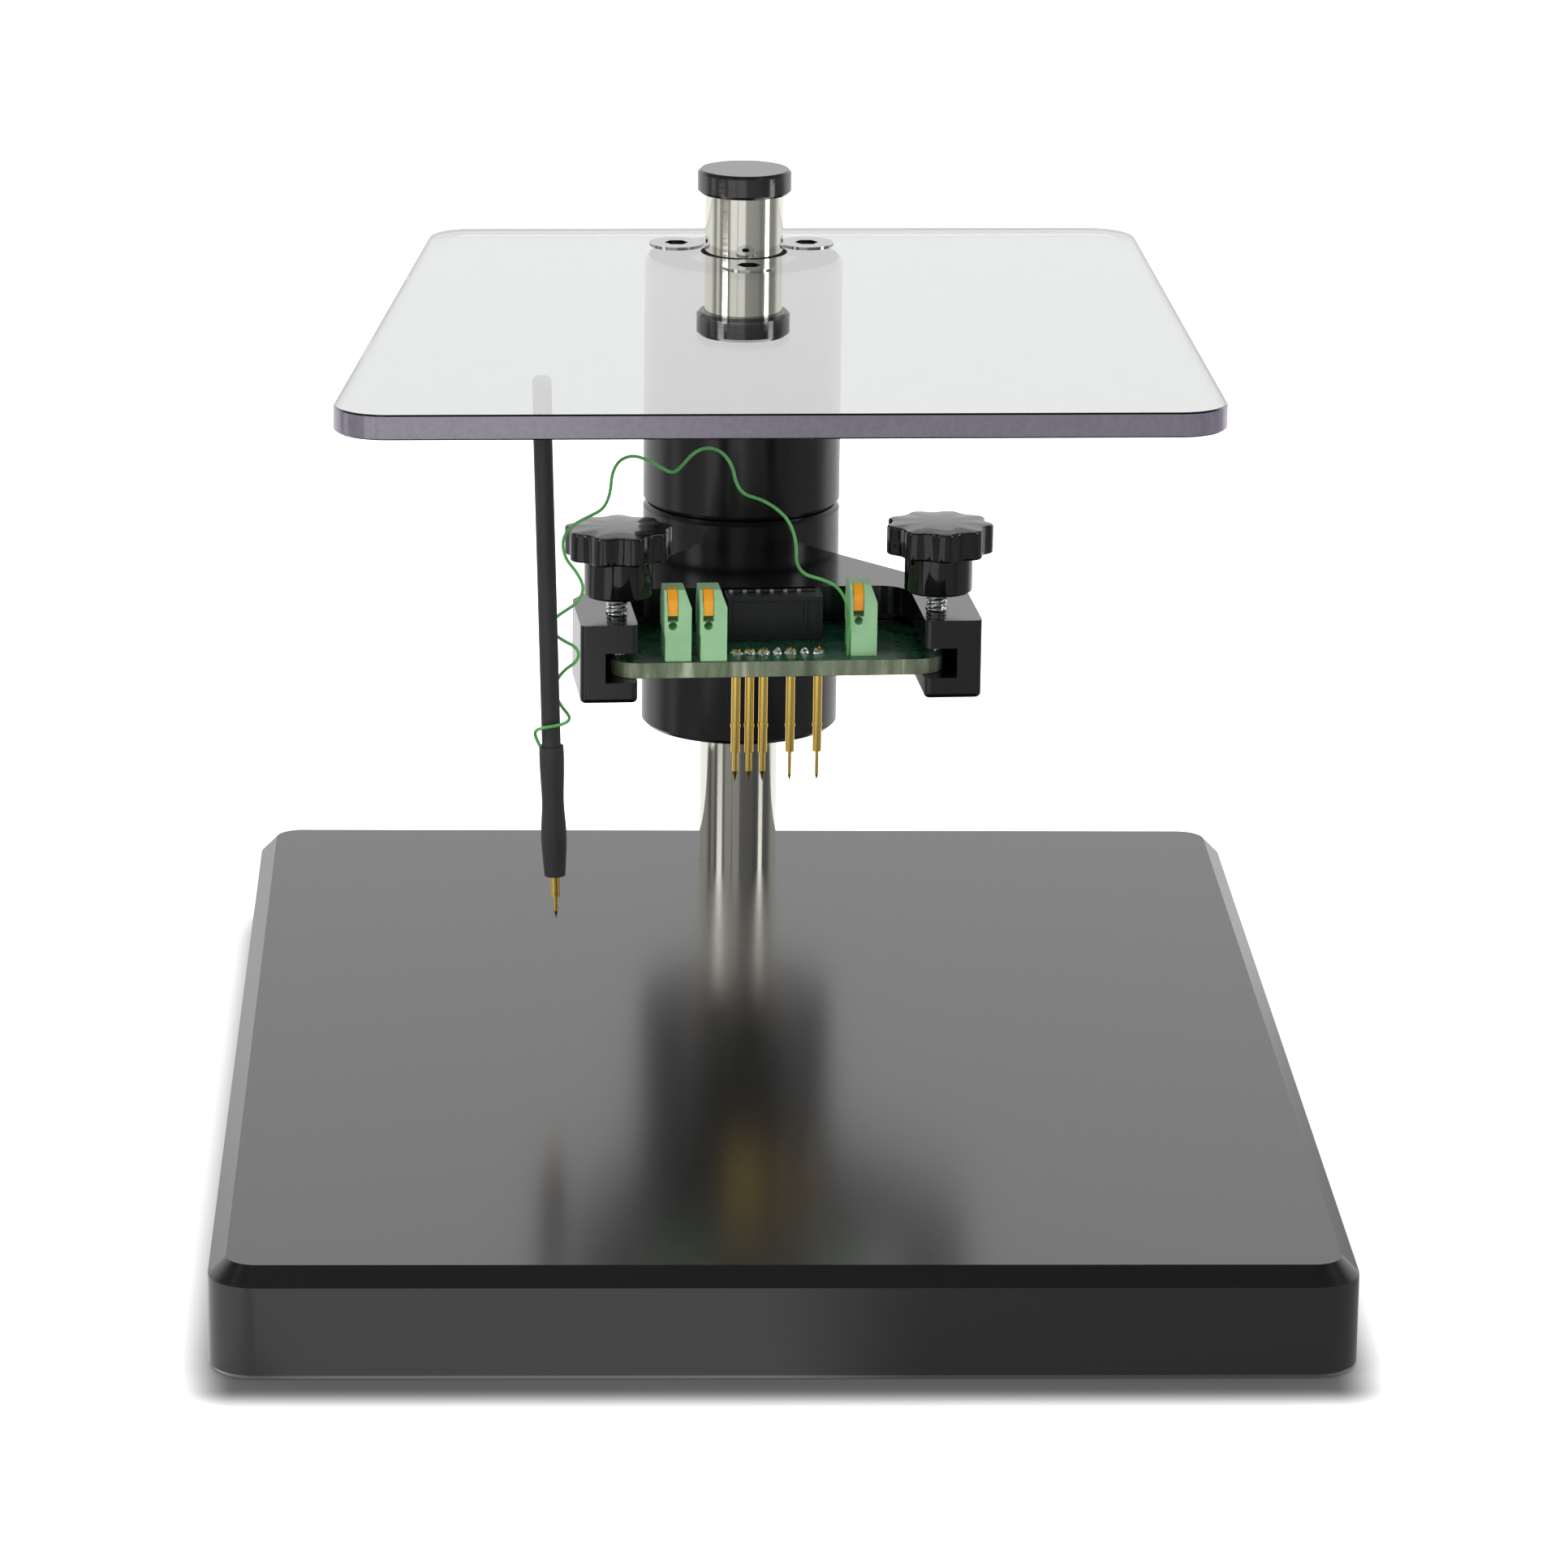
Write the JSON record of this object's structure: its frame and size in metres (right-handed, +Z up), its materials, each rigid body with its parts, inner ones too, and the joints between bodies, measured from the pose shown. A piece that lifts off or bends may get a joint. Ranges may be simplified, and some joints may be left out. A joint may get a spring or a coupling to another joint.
{
  "type": "circuit board positioning frame",
  "caption": "Bench positioning frame: a heavy base and column carry a sliding forked board holder with spring probes, and a clear plate above it.",
  "frame": {"origin": "centre of the base plate's underside", "axes": "+Z up along the column, +Y to the back where the column stands, +X to the right seen from the front"},
  "size_m": [0.19, 0.2721, 0.1564],
  "materials": {
    "base_black": "satin black anodised aluminium, finely bead blasted",
    "ground_steel": "ground and polished steel rod",
    "zinc_steel": "bright zinc plated steel",
    "black_steel": "black oxide steel",
    "cap_black": "polished black plastic",
    "bush_bronze": "turned bronze",
    "sleeve_black": "satin black anodised aluminium with fine turning marks",
    "yoke_black": "black anodised milled aluminium, brighter on its edges",
    "knob_black": "high gloss black thermoset",
    "board_green": "dark green solder mask over glass fibre laminate, grey-green cut edge",
    "solder": "bright solder",
    "terminal_green": "pale green moulded polyamide",
    "lever_orange": "orange moulded plastic",
    "header_black": "black moulded plastic",
    "tin_contact": "tinned contact",
    "gold_probe": "gold plated brass",
    "clear_plate": "clear polished plastic sheet with sawn and polished edges",
    "shrink_black": "matt black heat-shrink sleeving",
    "wire_green": "thin green insulated solid wire"
  },
  "bodies": {
    "base": {"base_plate": "base_black", "column": "ground_steel", "column_screw": "zinc_steel", "column_cap": "cap_black"},
    "lower_carrier": {"lower_bush": "bush_bronze"},
    "board_arm": {"lower_sleeve": "sleeve_black", "yoke": "yoke_black", "yoke_screws": "zinc_steel", "adapter_board": "board_green", "solder_joints": "solder", "terminal_1": "terminal_green", "terminal_2": "terminal_green", "terminal_3": "terminal_green", "header_box": "header_black", "header_contacts": "tin_contact", "probe_socket_1": "gold_probe", "probe_socket_2": "gold_probe", "probe_socket_3": "gold_probe", "probe_socket_4": "gold_probe", "probe_socket_5": "gold_probe", "jumper_wire": "wire_green"},
    "lower_lock_screw": {"lower_lock_stud": "zinc_steel"},
    "lower_lock_grip": {"lower_lock_knob": "knob_black"},
    "clamp_screw_left": {"clamp_stud_left": "zinc_steel"},
    "clamp_grip_left": {"clamp_knob_left": "knob_black"},
    "clamp_screw_right": {"clamp_stud_right": "zinc_steel"},
    "clamp_grip_right": {"clamp_knob_right": "knob_black"},
    "upper_carrier": {"upper_bush": "bush_bronze"},
    "plate_head": {"upper_sleeve": "sleeve_black", "top_plate": "clear_plate", "plate_screws": "black_steel", "pen_tube": "shrink_black", "pen_shrink": "shrink_black", "pen_socket": "gold_probe"},
    "upper_lock_screw": {"upper_lock_stud": "zinc_steel"},
    "upper_lock_grip": {"upper_lock_knob": "knob_black"},
    "pen_point": {"pen_plunger": "gold_probe"},
    "lever_1": {"terminal_lever_1": "lever_orange"},
    "lever_2": {"terminal_lever_2": "lever_orange"},
    "lever_3": {"terminal_lever_3": "lever_orange"},
    "probe_point_1": {"probe_plunger_1": "gold_probe"},
    "probe_point_2": {"probe_plunger_2": "gold_probe"},
    "probe_point_3": {"probe_plunger_3": "gold_probe"},
    "probe_point_4": {"probe_plunger_4": "gold_probe"},
    "probe_point_5": {"probe_plunger_5": "gold_probe"}
  },
  "joints": [
    {"name": "lower_slide", "type": "slide", "parent": "base", "child": "lower_carrier", "axis": [0, 0, 1], "range_m": [-0.019, 0.0054]},
    {"name": "lower_turn", "type": "hinge", "parent": "lower_carrier", "child": "board_arm", "pos_m": [-0.0012, 0.108, 0.069], "axis": [0, 0, 1], "continuous": true},
    {"name": "upper_slide", "type": "slide", "parent": "board_arm", "child": "upper_carrier", "axis": [0, 0, 1], "range_m": [0, 0.0054], "deforming": ["jumper_wire"]},
    {"name": "upper_turn", "type": "hinge", "parent": "upper_carrier", "child": "plate_head", "pos_m": [-0.0012, 0.108, 0.114], "axis": [0, 0, 1], "range_deg": [-20, 20]},
    {"name": "clamp_left_stud", "type": "slide", "parent": "board_arm", "child": "clamp_screw_left", "axis": [0, 0, 1], "range_m": [0, 0.003]},
    {"name": "clamp_left_knob", "type": "hinge", "parent": "clamp_screw_left", "child": "clamp_grip_left", "pos_m": [-0.02614, 0.03967, 0.089], "axis": [0, 0, 1], "range_deg": [0, 1542.85]},
    {"name": "clamp_right_stud", "type": "slide", "parent": "board_arm", "child": "clamp_screw_right", "axis": [0, 0, 1], "range_m": [0, 0.003]},
    {"name": "clamp_right_knob", "type": "hinge", "parent": "clamp_screw_right", "child": "clamp_grip_right", "pos_m": [0.03312, 0.04386, 0.089], "axis": [0, 0, 1], "range_deg": [0, 1542.85]},
    {"name": "lower_lock_stud", "type": "slide", "parent": "board_arm", "child": "lower_lock_screw", "axis": [-0.0706, 0.9975, 0], "range_m": [0, 0.0021]},
    {"name": "lower_lock_knob", "type": "hinge", "parent": "lower_lock_screw", "child": "lower_lock_grip", "pos_m": [-0.00264, 0.12835, 0.062], "axis": [-0.0706, 0.9975, 0], "range_deg": [0, 1079.99]},
    {"name": "upper_lock_stud", "type": "slide", "parent": "plate_head", "child": "upper_lock_screw", "axis": [-0.0332, 0.9995, 0], "range_m": [0, 0.0021]},
    {"name": "upper_lock_knob", "type": "hinge", "parent": "upper_lock_screw", "child": "upper_lock_grip", "pos_m": [-0.00188, 0.12839, 0.107], "axis": [-0.0332, 0.9995, 0], "range_deg": [0, 1079.99]},
    {"name": "lever_press_1", "type": "slide", "parent": "board_arm", "child": "lever_1", "axis": [0, 0, -1], "range_m": [0, 0.001], "stiffness_N_per_m": 1500, "springref_m": -0.0006},
    {"name": "lever_press_2", "type": "slide", "parent": "board_arm", "child": "lever_2", "axis": [0, 0, -1], "range_m": [0, 0.001], "stiffness_N_per_m": 1500, "springref_m": -0.0006},
    {"name": "lever_press_3", "type": "slide", "parent": "board_arm", "child": "lever_3", "axis": [0, 0, -1], "range_m": [0, 0.001], "stiffness_N_per_m": 1500, "springref_m": -0.0006},
    {"name": "probe_press_1", "type": "slide", "parent": "board_arm", "child": "probe_point_1", "axis": [0, 0, 1], "range_m": [0, 0.003], "stiffness_N_per_m": 300, "springref_m": -0.0015},
    {"name": "probe_press_2", "type": "slide", "parent": "board_arm", "child": "probe_point_2", "axis": [0, 0, 1], "range_m": [0, 0.003], "stiffness_N_per_m": 300, "springref_m": -0.0015},
    {"name": "probe_press_3", "type": "slide", "parent": "board_arm", "child": "probe_point_3", "axis": [0, 0, 1], "range_m": [0, 0.003], "stiffness_N_per_m": 300, "springref_m": -0.0015},
    {"name": "probe_press_4", "type": "slide", "parent": "board_arm", "child": "probe_point_4", "axis": [0, 0, 1], "range_m": [0, 0.003], "stiffness_N_per_m": 300, "springref_m": -0.0015},
    {"name": "probe_press_5", "type": "slide", "parent": "board_arm", "child": "probe_point_5", "axis": [0, 0, 1], "range_m": [0, 0.003], "stiffness_N_per_m": 300, "springref_m": -0.0015},
    {"name": "pen_press", "type": "slide", "parent": "plate_head", "child": "pen_point", "axis": [-0.03, 0, 0.9995], "range_m": [0, 0.0025], "stiffness_N_per_m": 300, "springref_m": -0.0015}
  ],
  "couplings": [
    {"joint": "clamp_left_stud", "follows": "clamp_left_knob", "m_per_rad": 0.00011141},
    {"joint": "clamp_right_stud", "follows": "clamp_right_knob", "m_per_rad": 0.00011141},
    {"joint": "lower_lock_stud", "follows": "lower_lock_knob", "m_per_rad": 0.00011141},
    {"joint": "upper_lock_stud", "follows": "upper_lock_knob", "m_per_rad": 0.00011141}
  ]
}
